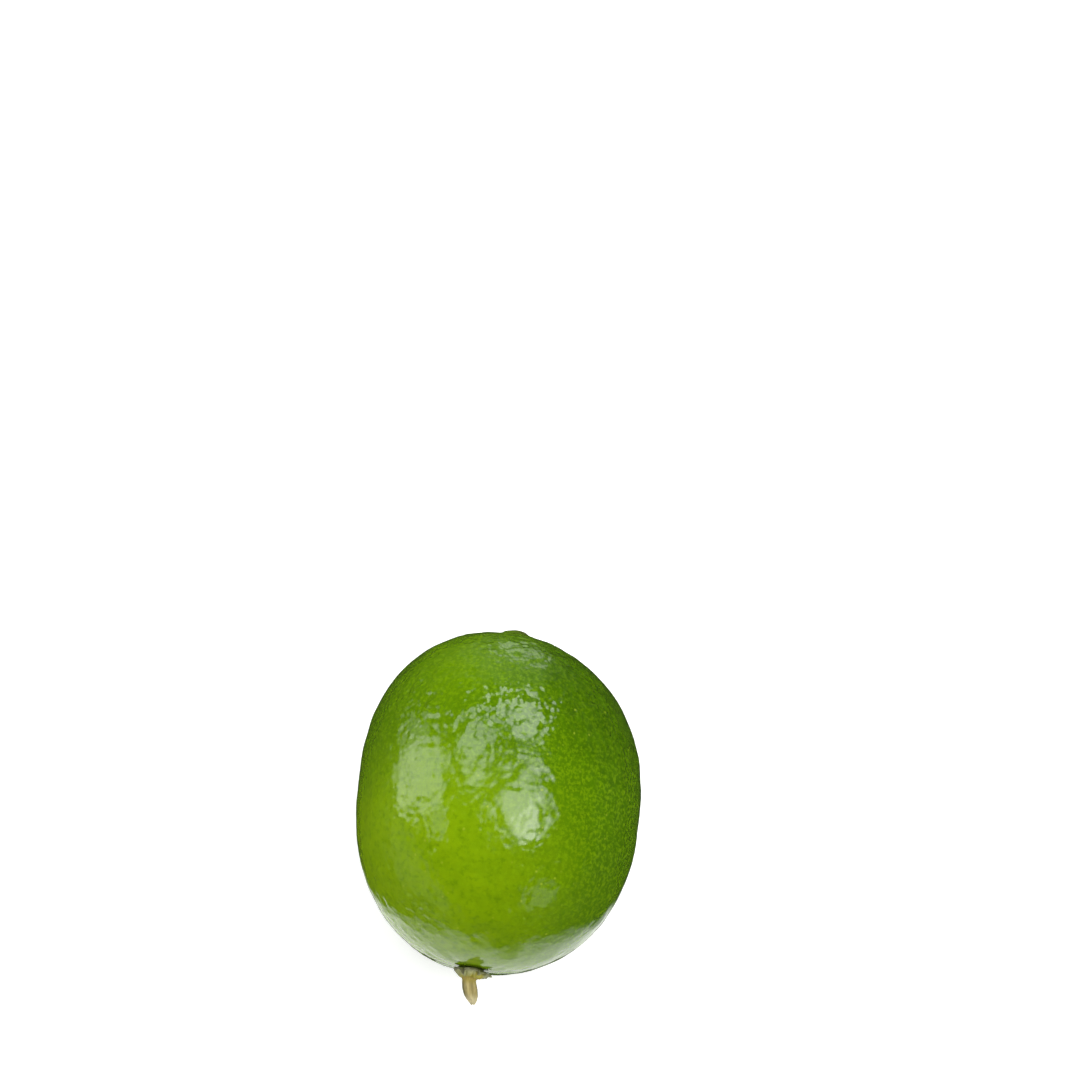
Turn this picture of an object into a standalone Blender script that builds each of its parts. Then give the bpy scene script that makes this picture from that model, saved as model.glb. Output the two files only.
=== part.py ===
"""A green lime, picked with its button and a short stub of stalk, lying on its side.

Metres, +Z up. The long axis of the fruit runs along Y: stalk toward -Y, blossom end toward +Y.
The origin is the middle of the small flat spot that the fruit rests on.
"""
import random
from math import atan2, cos, exp, hypot, pi, sin, sqrt

import bmesh
import bpy
from mathutils import Vector

# Driving dimensions of the fruit
BODY_RADIUS = 0.0270
BODY_HALF_LENGTH = 0.0327
PROFILE_POWER = 2.35         # 2 is an ellipse, more is fuller toward the ends
BLOSSOM_FULLNESS = 0.012     # how much wider the blossom half is than the middle
SIDE_BULGE = 0.0008          # the belly stands this far toward +X from the line between the poles
END_SHEAR = 0.0011           # the stem end leans toward +X and the blossom end toward -X by this much
FLAT_DEPTH = 0.0005          # height cut off below, which leaves the small flat spot

# Relief of the rind
NIPPLE_HEIGHT = 0.0014
NIPPLE_RADIUS = 0.0056
NIPPLE_BLUNTNESS = 1.2
NIPPLE_GROOVE_DEPTH = 0.00028
NIPPLE_GROOVE_WIDTH = 0.0014
DIMPLE_DEPTH = 0.0004
DIMPLE_RADIUS = 0.0036
FURROW_COUNT = 9
FURROW_DEPTH = 0.00012
FURROW_NARROWNESS = 3        # 1 gives even waves, more gives narrow furrows with wide ridges
FURROW_MIDDLE = 0.0068       # distance from the stalk at which the furrows are deepest
FURROW_SPREAD = 0.0030
END_RELIEF_REACH = 0.5       # the relief of an end is at full strength from here to the pole
SEGMENT_COUNT = 10
SEGMENT_RELIEF = 0.00008
LUMP_SEED = 197
LUMP_COUNT = 9
LUMP_RELIEF = 0.00006
LUMP_FREQUENCIES = (2.2, 5.0)

# Resolution of the fruit
AROUND = 64
RINGS = 46
POLE_CROWDING = 0.55         # 0 spaces the rings evenly, more gathers them at the poles
NEAR_POLE = 1e-9             # below this the direction counts as the pole itself
SETTLING_STEPS = 5           # rounds that find the rind under a point across the axis

# Calyx button
GAP = 0.0003                 # clearance between pieces that touch
CALYX_CENTRE_X = 0.0003
CALYX_LOBES = 5
CALYX_TURN = pi / 10
CALYX_NOTCH_RADIUS = 0.0028
CALYX_LOBE_RADIUS = 0.0037
CALYX_LOBE_ROUNDNESS = 0.8   # less makes the lobes broader and their notches sharper
CALYX_RIM_THICKNESS = 0.00045
CALYX_LOBE_LIFTS = (0.00050, 0.00020, 0.00008, 0.00022, 0.00035)    # of each lobe's tip off the rind
CALYX_RINGS = 7
CALYX_AROUND = 40
BOSS_RADIUS = 0.0015
BOSS_FOOT_RADIUS = 0.0035
BOSS_HEIGHT = 0.0015         # from the underside of the button to the flat top of its boss

# Stub of stalk, as distance along it (0 to 1) and radius
STEM_ROOT_X = -0.0001
STEM_LENGTH = 0.0045
STEM_PROFILE = (
    (0.00, 0.00128),
    (0.12, 0.00136),
    (0.40, 0.00144),
    (0.66, 0.00130),
    (0.84, 0.00096),
    (0.95, 0.00056),
    (1.00, 0.00030),
)
STEM_LEAN_X = 0.00130        # how far the tip stands toward +X from the root
STEM_LEAN_Z = -0.00020
STEM_BEND = 1.2              # 1 is straight, more bends the lean toward the tip
STEM_RIDGES = 5
STEM_RIDGE_RELIEF = 0.00007
STEM_RIDGE_FADE = 0.2        # share of the length over which the ridges fade out at the tip
STEM_TWIST = 0.5
STEM_AROUND = 20
STEM_RINGS = 14

AXIS_X = -SIDE_BULGE
AXIS_Z = BODY_RADIUS - FLAT_DEPTH


def remove_everything():
    for thing in list(bpy.data.objects):
        bpy.data.objects.remove(thing, do_unlink=True)


def make_material(name, colour, roughness):
    material = bpy.data.materials.new(name)
    material.use_nodes = True
    shader = material.node_tree.nodes["Principled BSDF"]
    shader.inputs["Base Color"].default_value = (*colour, 1.0)
    shader.inputs["Roughness"].default_value = roughness
    shader.inputs["Metallic"].default_value = 0.0
    return material


def smooth_step(start, end, value):
    """Rises smoothly from 0 at start to 1 at end."""
    t = min(max((value - start) / (end - start), 0.0), 1.0)
    return t * t * (3.0 - 2.0 * t)


def bell(value, middle, spread):
    return exp(-((value - middle) / spread) ** 2)


def interpolate(table, position):
    """Reads a value from a short table of (position, value) pairs."""
    for (low, low_value), (high, high_value) in zip(table, table[1:]):
        if position <= high:
            return low_value + (high_value - low_value) * (position - low) / (high - low)
    return table[-1][1]


# The form of the fruit, in coordinates along and across the line between its poles

def lump_waves():
    """Draws the few broad waves that keep the fruit from being perfectly round."""
    draw = random.Random(LUMP_SEED)
    waves = []
    for _ in range(LUMP_COUNT):
        heading = Vector([draw.gauss(0, 1) for _ in range(3)]).normalized()
        waves.append((heading * draw.uniform(*LUMP_FREQUENCIES), draw.uniform(0, 2 * pi)))
    return waves


LUMP_WAVES = lump_waves()


def centre_shift(along):
    """How far the middle of a cross section stands toward +X, for along from -1 to 1."""
    return SIDE_BULGE * (1.0 - along * along) - END_SHEAR * along


def end_width(along):
    return 1.0 + BLOSSOM_FULLNESS * along


def blossom_relief(across_x, across_z):
    """Height of the nipple and of the groove round it, along the axis."""
    distance = hypot(across_x, across_z)
    cone = 0.5 + 0.5 * cos(pi * min(distance / NIPPLE_RADIUS, 1.0))
    groove = NIPPLE_GROOVE_DEPTH * bell(distance, NIPPLE_RADIUS, NIPPLE_GROOVE_WIDTH)
    return NIPPLE_HEIGHT * cone ** NIPPLE_BLUNTNESS - groove


def stem_relief(across_x, across_z):
    """Depth of the dimple under the button and of the furrows that leave it, along the axis."""
    distance = hypot(across_x - CALYX_CENTRE_X, across_z)
    angle = atan2(across_z, across_x - CALYX_CENTRE_X)
    furrow = (0.5 + 0.5 * cos(FURROW_COUNT * angle + sin(2 * angle))) ** FURROW_NARROWNESS
    dimple = DIMPLE_DEPTH * bell(distance, 0.0, DIMPLE_RADIUS)
    return dimple + FURROW_DEPTH * furrow * bell(distance, FURROW_MIDDLE, FURROW_SPREAD)


def rind_point(direction):
    """The point of the rind for a unit vector whose Y runs along the axis of the fruit."""
    along = direction.y
    from_axis = 1.0 - along * along
    if from_axis < NEAR_POLE:
        fullness = sqrt(PROFILE_POWER / 2.0)
    else:
        fullness = sqrt((1.0 - abs(along) ** PROFILE_POWER) / from_axis)
    radius = BODY_RADIUS * fullness * end_width(along)
    x = radius * direction.x + centre_shift(along)
    y = BODY_HALF_LENGTH * along
    z = radius * direction.z

    # Broad lumps and the faint bulge of each segment, both fading out at the poles
    angle = atan2(direction.z, direction.x)
    lumps = sum(sin(wave.dot(direction) + phase) for wave, phase in LUMP_WAVES)
    relief = from_axis * (LUMP_RELIEF * lumps + SEGMENT_RELIEF * cos(SEGMENT_COUNT * angle))
    x += relief * direction.x
    y += relief * direction.y
    z += relief * direction.z

    y += stem_relief(x, z) * smooth_step(0.0, END_RELIEF_REACH, -along)
    y += blossom_relief(x, z) * smooth_step(0.0, END_RELIEF_REACH, along)
    return Vector((x, y, z))


def stem_end_height(x, z):
    """The rind's position along the axis at the stem end, over a point across the axis."""
    along = -1.0
    for _ in range(SETTLING_STEPS):
        radius = hypot(x - centre_shift(along), z) / (BODY_RADIUS * end_width(along))
        along = -(1.0 - radius * radius) ** (1.0 / PROFILE_POWER)
    return BODY_HALF_LENGTH * along + stem_relief(x, z)


def in_place(point):
    return Vector((point.x + AXIS_X, point.y, point.z + AXIS_Z))


# Building the meshes

def object_from_mesh(name, builder, material):
    bmesh.ops.recalc_face_normals(builder, faces=builder.faces[:])
    mesh = bpy.data.meshes.new(name)
    builder.to_mesh(mesh)
    builder.free()
    mesh.materials.append(material)
    mesh.shade_smooth()
    thing = bpy.data.objects.new(name, mesh)
    bpy.context.scene.collection.objects.link(thing)
    return thing


def bridge(builder, ring, next_ring):
    """Joins two rings of as many vertices with a band of triangles."""
    count = len(ring)
    for i in range(count):
        j = (i + 1) % count
        builder.faces.new((ring[i], ring[j], next_ring[i]))
        builder.faces.new((ring[j], next_ring[j], next_ring[i]))


def cap(builder, ring, middle):
    count = len(ring)
    for i in range(count):
        builder.faces.new((ring[i], ring[(i + 1) % count], middle))


def polar_angle(step):
    """Angle from the stem pole of a ring, for step from 0 to 1."""
    return pi * (step - POLE_CROWDING * sin(2 * pi * step) / (2 * pi))


def build_fruit(material):
    builder = bmesh.new()
    rings = []
    for index in range(1, RINGS):
        polar = polar_angle(index / RINGS)
        ring = []
        for corner in range(AROUND):
            turn = 2 * pi * corner / AROUND
            direction = Vector((sin(polar) * cos(turn), -cos(polar), sin(polar) * sin(turn)))
            ring.append(builder.verts.new(in_place(rind_point(direction))))
        rings.append(ring)
    for ring, next_ring in zip(rings, rings[1:]):
        bridge(builder, ring, next_ring)
    cap(builder, rings[0], builder.verts.new(in_place(rind_point(Vector((0, -1, 0))))))
    cap(builder, rings[-1], builder.verts.new(in_place(rind_point(Vector((0, 1, 0))))))
    cut_flat_spot(builder)
    return object_from_mesh("fruit", builder, material)


def cut_flat_spot(builder):
    """Removes what lies below the resting plane and closes the cut with one flat face."""
    everything = builder.verts[:] + builder.edges[:] + builder.faces[:]
    cut = bmesh.ops.bisect_plane(
        builder, geom=everything, plane_co=(0, 0, 0), plane_no=(0, 0, -1), clear_outer=True)
    rim = [item for item in cut["geom_cut"] if isinstance(item, bmesh.types.BMEdge)]
    bmesh.ops.edgeloop_fill(builder, edges=rim)


def calyx_rim(angle):
    """Radius of the button's outline, which has one rounded lobe for each sepal."""
    lobe = abs(cos(CALYX_LOBES * (angle - CALYX_TURN) / 2))
    lobe_length = CALYX_LOBE_RADIUS - CALYX_NOTCH_RADIUS
    return CALYX_NOTCH_RADIUS + lobe_length * lobe ** CALYX_LOBE_ROUNDNESS


def calyx_lift(angle):
    """How far the button's rim stands off the rind, from lobe to lobe."""
    lobe = ((angle - CALYX_TURN) / (2 * pi) % 1.0) * CALYX_LOBES
    first = int(lobe)
    share = smooth_step(0.0, 1.0, lobe - first)
    lifts = CALYX_LOBE_LIFTS
    return lifts[first % CALYX_LOBES] * (1 - share) + lifts[(first + 1) % CALYX_LOBES] * share


def calyx_points(angle, reach):
    """Underside and outer side of the button at an angle, for reach from 0 to 1 of its radius."""
    distance = calyx_rim(angle) * reach
    x = CALYX_CENTRE_X + distance * cos(angle)
    z = distance * sin(angle)
    underside = stem_end_height(x, z) - GAP - calyx_lift(angle) * reach ** 2
    boss_top = stem_end_height(CALYX_CENTRE_X, 0.0) - GAP - BOSS_HEIGHT
    from_stem = hypot(x - STEM_ROOT_X, z)
    boss_share = 1.0 - smooth_step(BOSS_RADIUS, BOSS_FOOT_RADIUS, from_stem)
    sepal_top = underside - CALYX_RIM_THICKNESS
    outer = sepal_top + (boss_top - sepal_top) * boss_share
    return Vector((x, underside, z)), Vector((x, outer, z))


def build_calyx(material):
    builder = bmesh.new()
    under_rings = []
    outer_rings = []
    for index in range(1, CALYX_RINGS + 1):
        reach = index / CALYX_RINGS
        under_ring = []
        outer_ring = []
        for corner in range(CALYX_AROUND):
            under, outer = calyx_points(2 * pi * corner / CALYX_AROUND, reach)
            under_ring.append(builder.verts.new(in_place(under)))
            outer_ring.append(builder.verts.new(in_place(outer)))
        under_rings.append(under_ring)
        outer_rings.append(outer_ring)
    for rings in (under_rings, outer_rings):
        for ring, next_ring in zip(rings, rings[1:]):
            bridge(builder, ring, next_ring)
    bridge(builder, under_rings[-1], outer_rings[-1])
    under, outer = calyx_points(0.0, 0.0)
    cap(builder, under_rings[0], builder.verts.new(in_place(under)))
    cap(builder, outer_rings[0], builder.verts.new(in_place(outer)))
    return object_from_mesh("calyx", builder, material)


def build_stem(material):
    builder = bmesh.new()
    root = stem_end_height(CALYX_CENTRE_X, 0.0) - BOSS_HEIGHT - 2 * GAP
    rings = []
    for index in range(STEM_RINGS + 1):
        step = index / STEM_RINGS
        centre = Vector((
            STEM_ROOT_X + STEM_LEAN_X * step ** STEM_BEND,
            root - STEM_LENGTH * step,
            STEM_LEAN_Z * step,
        ))
        ring = []
        for corner in range(STEM_AROUND):
            turn = 2 * pi * corner / STEM_AROUND
            ridge = STEM_RIDGE_RELIEF * cos(STEM_RIDGES * turn + STEM_TWIST * step)
            ridge *= smooth_step(0.0, STEM_RIDGE_FADE, 1.0 - step)
            radius = interpolate(STEM_PROFILE, step) + ridge
            offset = Vector((radius * cos(turn), 0.0, radius * sin(turn)))
            ring.append(builder.verts.new(in_place(centre + offset)))
        rings.append(ring)
    for ring, next_ring in zip(rings, rings[1:]):
        bridge(builder, ring, next_ring)
    builder.faces.new(rings[0])
    builder.faces.new(rings[-1])
    return object_from_mesh("stem", builder, material)


def main():
    remove_everything()
    build_fruit(make_material("rind", (0.115, 0.270, 0.012), 0.28))
    build_calyx(make_material("dried_sepals", (0.230, 0.240, 0.110), 0.75))
    build_stem(make_material("stalk_wood", (0.420, 0.330, 0.130), 0.80))


main()
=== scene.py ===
"""Looks of a green lime lying on its side: glossy dimpled rind, dried button and stub of stalk.

Metres, +Z up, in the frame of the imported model. The stalk points toward -Y, the blossom end toward +Y.
"""

import random
from math import cos, pi, radians, sin, sqrt, tan

import bpy
import numpy as np
from mathutils import Matrix, Vector, kdtree


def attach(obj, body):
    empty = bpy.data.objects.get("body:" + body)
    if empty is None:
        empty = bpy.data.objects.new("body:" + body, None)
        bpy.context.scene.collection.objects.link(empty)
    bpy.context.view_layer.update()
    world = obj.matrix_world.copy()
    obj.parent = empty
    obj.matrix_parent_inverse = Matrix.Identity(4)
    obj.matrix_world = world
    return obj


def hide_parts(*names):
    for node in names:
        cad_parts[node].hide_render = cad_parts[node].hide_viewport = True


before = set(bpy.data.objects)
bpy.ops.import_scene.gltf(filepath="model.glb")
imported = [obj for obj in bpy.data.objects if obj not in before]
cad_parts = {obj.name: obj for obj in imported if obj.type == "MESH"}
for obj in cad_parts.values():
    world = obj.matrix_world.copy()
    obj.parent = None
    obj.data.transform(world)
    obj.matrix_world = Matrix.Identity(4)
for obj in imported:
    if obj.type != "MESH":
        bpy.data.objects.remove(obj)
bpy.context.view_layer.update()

# Form of the fruit, as in the model
BODY_RADIUS = 0.0270
BODY_HALF_LENGTH = 0.0327
PROFILE_POWER = 2.35
BLOSSOM_FULLNESS = 0.012
SIDE_BULGE = 0.0008
END_SHEAR = 0.0011
FLAT_DEPTH = 0.0005
NIPPLE_HEIGHT = 0.0014
NIPPLE_RADIUS = 0.0056
NIPPLE_BLUNTNESS = 1.2
NIPPLE_GROOVE_DEPTH = 0.00028
NIPPLE_GROOVE_WIDTH = 0.0014
DIMPLE_DEPTH = 0.0004
DIMPLE_RADIUS = 0.0036
FURROW_COUNT = 9
FURROW_DEPTH = 0.00012
FURROW_NARROWNESS = 3
FURROW_MIDDLE = 0.0068
FURROW_SPREAD = 0.0030
END_RELIEF_REACH = 0.5
SEGMENT_COUNT = 10
SEGMENT_RELIEF = 0.00008
LUMP_SEED = 197
LUMP_COUNT = 9
LUMP_RELIEF = 0.00006
LUMP_FREQUENCIES = (2.2, 5.0)
SETTLING_STEPS = 5
NEAR_POLE = 1e-9
AXIS_X = -SIDE_BULGE
AXIS_Z = BODY_RADIUS - FLAT_DEPTH
FRUIT_MIDDLE = (AXIS_X, 0.0, AXIS_Z)

# Fine relief of the rind
RIND_CELLS = 127             # along each edge of the cube that is blown up to the fruit
NORMAL_STEP = 1e-3           # step between directions that finds the slope of the rind
GLAND_SEED = 31
GLAND_COUNT = 7000
GLAND_RELAXING = 6           # rounds in which neighbours push each other apart
GLAND_PUSH = 0.35
GLAND_REST = 0.8             # push at which two glands are left as they are
GLAND_NEIGHBOURS = 7
KNOB_HEIGHT = (0.000008, 0.000054)   # of the low knob over each gland
SUNKEN_SHARE = 0.07                  # of the glands, which are small dents instead
SUNKEN_DEPTH = 0.000050
KNOB_EDGE = 0.0006                   # how far apart two glands' distances are where the flat top begins
SWELL_SEED = 11
SWELL_RELIEF = 0.000034
SWELL_LENGTHS = (0.0040, 0.0090)
RIPPLE_SEED = 13
RIPPLE_RELIEF = 0.000016
RIPPLE_LENGTHS = (0.0018, 0.0036)
ROUGH_BELT = (0.0155, 0.0065)        # middle and spread, along the axis, of the roughest skin
ROUGH_BELT_GAIN = 2.1
ROUGH_TIP = (0.0205, 0.0265)         # where the skin grows rough again, next to the nipple
ROUGH_TIP_GAIN = 1.5
ROUGH_STEM_END = (-0.0280, 0.0080)   # middle and spread of the rough skin round the button
ROUGH_STEM_END_GAIN = 0.8
STEM_END_SIDE = (0.000, -0.012)      # x where that rough skin begins, and where it is fully rough
LOW_ROUGHNESS = 0.45                 # low on the flanks
FLANK_TOP = (0.030, 0.042)           # heights between which the skin grows as rough as on the upper side
UPPER_SIDE = (0.034, 0.044)          # heights between which the rough belt and tip come in
WRINKLE_SEED = 5
WRINKLE_RELIEF = 0.000080
WRINKLE_LENGTHS = (0.0012, 0.0026)
WRINKLE_SPREAD = 0.0014      # less draws the wrinkles out into longer rings
WRINKLE_START = (0.0012, 0.0030)     # distances from the axis over which the wrinkles rise
WRINKLE_END = (0.0075, 0.0150)       # and over which they fade
STYLE_SCAR_DEPTH = 0.00035
STYLE_SCAR_RADIUS = 0.0009
WAVES_IN_A_FIELD = 36

# Button of dried sepals
CALYX_CENTRE_X = 0.0003
CALYX_LOBES = 5
CALYX_TURN = pi / 10
CALYX_NOTCH_RADIUS = 0.0028
CALYX_LOBE_RADIUS = 0.0037
CALYX_LOBE_ROUNDNESS = 0.8
CALYX_LOBE_LIFTS = (0.00050, 0.00010, 0.00008, 0.00022, 0.00035)
CALYX_RIM_GAP = 0.0002
CALYX_ROOT_SINK = 0.0002     # the middle of the button is grown into the dimple this deep
CALYX_LEAVES_RIND = (0.45, 0.85)     # shares of the way to the rim between which it comes off the rind
CALYX_MIDDLE_THICKNESS = 0.00050
CALYX_RIM_THICKNESS = 0.00022
CALYX_THINS = (0.5, 1.0)
CALYX_RIM_OVERHANG = 0.03    # how far the rounded edge stands out, as a share of its radius
CRINKLE_SEED = 21
CRINKLE_LENGTHS = (0.25, 0.9)
CRINKLED_OUTLINE = 0.035
CRINKLED_BOSS = 0.08
MIDRIB_HEIGHT = 0.00010
MIDRIB_WIDTH = 0.00018
MIDRIB_START = (0.35, 0.6)
CURL_HEIGHT = 0.00012
CURL_START = (0.75, 1.0)
CRINKLED_CURL = 0.6
SEPAL_FIBRE_SEED = 22
SEPAL_FIBRE_LENGTHS = (0.0004, 0.0009)
SEPAL_FIBRE_RELIEF = 0.00003
PIECE_GAP = 0.0003           # what the model keeps free between rind, button and stub
BOSS_HEIGHT = 0.0015
BOSS_RADIUS = 0.0014
BOSS_FOOT_RADIUS = 0.0035
CALYX_AROUND = 240
CALYX_RINGS = 44
CALYX_FIRST_RING = 0.02

# Stub of stalk
STEM_ROOT_X = -0.0001
STEM_LENGTH = 0.0045
STEM_PROFILE = (
    (0.00, 0.00128),
    (0.12, 0.00136),
    (0.40, 0.00144),
    (0.66, 0.00130),
    (0.84, 0.00096),
    (0.95, 0.00056),
    (1.00, 0.00030),
)
STEM_LEAN_X = 0.00130
STEM_LEAN_Z = -0.00020
STEM_BEND = 1.2
STEM_RIDGES = 5
STEM_RIDGE_RELIEF = 0.00007
STEM_RIDGE_FADE = 0.2
STEM_TWIST = 0.5
STEM_ROOT_SINK = 0.0007      # the stalk is grown into the button this deep
STEM_FLARE = 0.00022         # what the sunken root is wider by
STEM_FLARE_END = (-0.14, 0.08)
STEM_GRAIN_SEED = 41
STEM_GRAIN_LENGTHS = (0.18, 0.5)
STEM_GRAIN_STRETCH = 0.12    # less draws the grain out along the stalk
STEM_GRAIN_RELIEF = 0.00003
TORN_END_SEED = 42
TORN_END_LENGTHS = (0.35, 0.8)
TORN_END_RELIEF = 0.00009
TORN_END_START = (0.7, 1.0)
FLANK_SHADE_START = (0.70, 0.96)    # how far round to the left and right the painted shade on the stalk's sides begins
STEM_AROUND = 144
STEM_RINGS = 150

# Colours, as linear red, green and blue. A stain is its strength and its colour.
RIND_GREENS = ((0.062, 0.140, 0.0008), (0.106, 0.208, 0.0012))
RIND_BLOTCH = (0.22, (0.085, 0.193, 0.0008))
RIND_GRAIN_PALE = (0.196, 0.346, 0.0030)
RIND_GRAIN_PALE_IN_PAINTED_SHADE = (0.112, 0.210, 0.0018)
RIND_GRAIN_DARK = (0.060, 0.150, 0.0006)
RIND_GRAIN_STRENGTH = (0.38, 0.50)   # on most of the fruit, and on its grainy side
RIND_CREASE_SHADE = (0.05, (0.046, 0.120, 0.0006))
RIND_SPECK_AND_GLINT = (0.50, (0.330, 0.420, 0.030))
NIPPLE_OLIVE = (0.60, (0.075, 0.115, 0.012))
NIPPLE_WRINKLE_SHADE = (0.35, (0.060, 0.095, 0.008))
NIPPLE_BROWN = (0.80, (0.080, 0.075, 0.016))
SEPAL_COLOURS = ((0.238, 0.262, 0.104), (0.390, 0.397, 0.180))
SEPAL_COLLAR = (0.90, (0.400, 0.360, 0.035))
SEPAL_DARK_RIM_AND_SHADE = (0.80, (0.080, 0.075, 0.034))
SEPAL_UNDERSIDE_SHADE = (0.085, 0.095, 0.018)
WOOD_COLOURS = ((0.285, 0.224, 0.064), (0.465, 0.387, 0.154))
WOOD_GROOVE_SHADE = (0.35, (0.160, 0.125, 0.035))
WOOD_FLANK_SHADE = (0.090, 0.085, 0.032)
WOOD_GREEN_ROOT = (0.70, (0.300, 0.240, 0.025))
WOOD_PALE_TIP = (0.60, (0.740, 0.665, 0.400))

# Broad patches on the rind: middle, radius, softness of the edge, strength, colour. The dark ones are
# painted shade, on the right side partly also the rind's own darker green; the pale stalk end is partly a
# yellower tone of the rind and partly painted light.
RIND_PATCHES = {
    # Partly the rind's own darker green, partly painted shade
    "dark right side, partly painted shade": ((0.030, 0.012, 0.036), 0.014, 0.028, 0.90, (0.040, 0.105, 0.0006)),
    # Partly a yellower tone of the rind, partly painted light on the lower left side
    "pale stalk end, partly painted light": ((-0.014, -0.022, 0.042), 0.013, 0.024, 0.78, (0.222, 0.358, 0.0015)),
    # Painted shade along the left edge
    "painted shade on left flank": ((-0.027, 0.010, 0.034), 0.008, 0.014, 0.40, (0.062, 0.142, 0.0008)),
    # Painted shade: the rind darker towards the blossom end
    "blossom end": ((0.012, 0.034, 0.036), 0.014, 0.026, 0.45, (0.052, 0.130, 0.0008)),
    # Painted shade on the upper right, beside the nipple
    "painted shade on shoulder": ((0.019, 0.022, 0.040), 0.008, 0.015, 0.90, (0.026, 0.070, 0.0005)),
}
# Places on the rind: middle, radius, softness of the edge
GRAINY_SIDE = ((0.030, 0.004, 0.030), 0.014, 0.036)
NIPPLE = ((0.0003, 0.0335, AXIS_Z), 0.0030, 0.0055)
NIPPLE_TIP = ((0.0003, 0.0345, AXIS_Z), 0.0014, 0.0022)
DULL_PATCH = ((-0.0010, 0.0270, 0.0430), 0.0060, 0.0080)     # above the nipple, less glossy

# Uneven patterns: size, values of the noise between which they set in, detail and roughness of it
DRIFT = (0.022, (0.35, 0.68), 2.0, 0.5)
BLOTCHES = (0.0032, (0.36, 0.64), 2.0, 0.5)
PALE_GRAIN = (0.0007, (0.42, 0.66), 3.0, 0.65)
DARK_GRAIN = (0.0012, (0.52, 0.30), 3.0, 0.6)
SPECK_GROUPS = (0.005, (0.46, 0.60), 1.0, 0.5)
SHEEN = (0.004, (0.3, 0.7), 3.0, 0.5)
RIM_PATCHES = (0.0018, (0.38, 0.58), 1.0, 0.5)

# Where other marks set in
SPECK_SPACING = 0.0024
SPECK_EDGE = (0.15, 0.05)            # shares of the spacing
WRINKLE_HOLLOW = (-0.2, -1.6)        # heights, in wrinkles, over which painted shade fills their hollows
COLLAR_EDGE = (0.80, 0.50)           # shares of the button's radius
DARK_RIM_START = (0.86, 0.98)
DARK_RIM_SHARE = (0.35, 1.0)         # in its palest and its darkest patches
NOISE_RANGE = (0.3, 0.7)             # values of a noise that stand for none and all of a change
GROOVE_START = (0.2, -0.8)           # heights, in ridges of the stalk
FLANK_SHADE_GRAIN = (0.2, 0.6)              # values of the grain
FLANK_SHADE_SHARE = (0.5, 0.85)             # between them
GREEN_ROOT_END = (0.30, 0.0)         # shares of the stalk's length
PALE_TIP_START = (0.55, 0.95)

# Fine relief and gloss of the materials
PORE_SIZE = 0.00055
PORE_DEPTH = 0.000012
SPECK_HEIGHT = 0.3           # of a pore's depth
RIND_ROUGHNESS = (0.08, 0.13)
DULL_PATCH_ROUGHNESS = 0.12
NIPPLE_TIP_ROUGHNESS = 0.2
SEPAL_FIBRE_SIZE = 0.0006
SEPAL_FIBRE_DEPTH = 0.00008
SEPAL_ROUGHNESS = (0.55, 0.85)
WOOD_GRAIN_SIZE = 0.0004
WOOD_GRAIN_STRETCH = 0.18    # less draws the grain out along the stalk
WOOD_GRAIN_DEPTH = 0.00010
WOOD_ROUGHNESS = (0.65, 0.9)

# View of the photograph
PICTURE_SIZE = 1080
AXIS_PIXEL = (494.2, 803.5)  # where the middle of the fruit's axis shows in the picture
FRAME_WIDTH = 0.2055         # what the picture spans at the distance of the fruit
CAMERA_AZIMUTH = 7.7
CAMERA_ELEVATION = 78.0
CAMERA_DISTANCE = 1.5
CAMERA_REACH = 10.0
SENSOR_WIDTH = 36.0

# Soft boxes: azimuth and elevation seen from the fruit, angular width and height, roll, brightness
LIGHT_DISTANCE = 1.20
SOFT_BOXES = {
    "window_left": (-97, 25, 23, 43, 0, 3.0),
    "window_left_high": (-110, 9, 16, 34, 0, 0.8),
    "window_left_low": (-73, 37, 15, 19, 0, 1.2),
    "window_back": (-137, 62, 27, 28, 0, 3.5),
    "box_behind": (162, 46, 33, 33, 0, 4.9),
    "box_overhead": (87, 68, 33, 44, 12, 4.6),
    "box_overhead_core": (75, 61, 23, 21, 0, 3.3),
    "box_low_right": (43, 16, 26, 20, 0, 0.8),
    "haze_front": (-52, 4, 60, 26, 0, 0.26),
    "haze_behind": (180, 8, 44, 34, 0, 0.26),
}
# Each soft box is layers behind one another that fade its edge: size, share of brightness, way back
SOFT_EDGE = ((1.22, 0.28, 0.00), (1.02, 0.36, 0.01), (0.82, 0.36, 0.02))
WATTS_PER_RADIANCE = 3.1     # for one square metre of soft box

# Light table that the fruit lies on, and the dim room round it
FLOOR_SIZE = 5.0
FLOOR_GREY = 0.62
FLOOR_GLOW = 0.76
CONTACT_SHADE = (0.006, 0.027)   # distances from the contact over which the glow grows from none to full
SURROUND_BRIGHTNESS = 0.02

# Black card round the fruit, which darkens what it mirrors of the floor, so that only the floor
# before the stalk shows bright in the gloss: azimuth, the card's inner radius there, and the factor
# on that radius at which the card has faded from the floor's brightness to black
CARD_EDGE = (
    (-180, 0.029, 1.0),
    (-70, 0.029, 1.1),
    (-58, 0.031, 1.3),
    (-48, 0.038, 1.7),
    (-36, 0.066, 2.2),
    (-22, 0.115, 2.6),
    (-8, 0.130, 2.5),
    (4, 0.088, 2.0),
    (13, 0.062, 1.6),
    (23, 0.090, 1.6),
    (34, 0.074, 1.7),
    (44, 0.053, 1.6),
    (55, 0.037, 1.4),
    (68, 0.029, 1.2),
    (180, 0.029, 1.0),
)
CARD_OUTER = 2.0
CARD_LIFT = 0.0005
CARD_AROUND = 180
CARD_RINGS = 60
CARD_GREY = 0.01
CARD_EDGE_GLOW = 1.0
CARD_EDGE_GLOW_END = (80.0, 60.0)    # azimuths to either side between which the inner edge grows bright
CARD_WINDOW = ((165, 186), (0.105, 0.260))       # azimuths and radii of the opening behind the nipple
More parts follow.
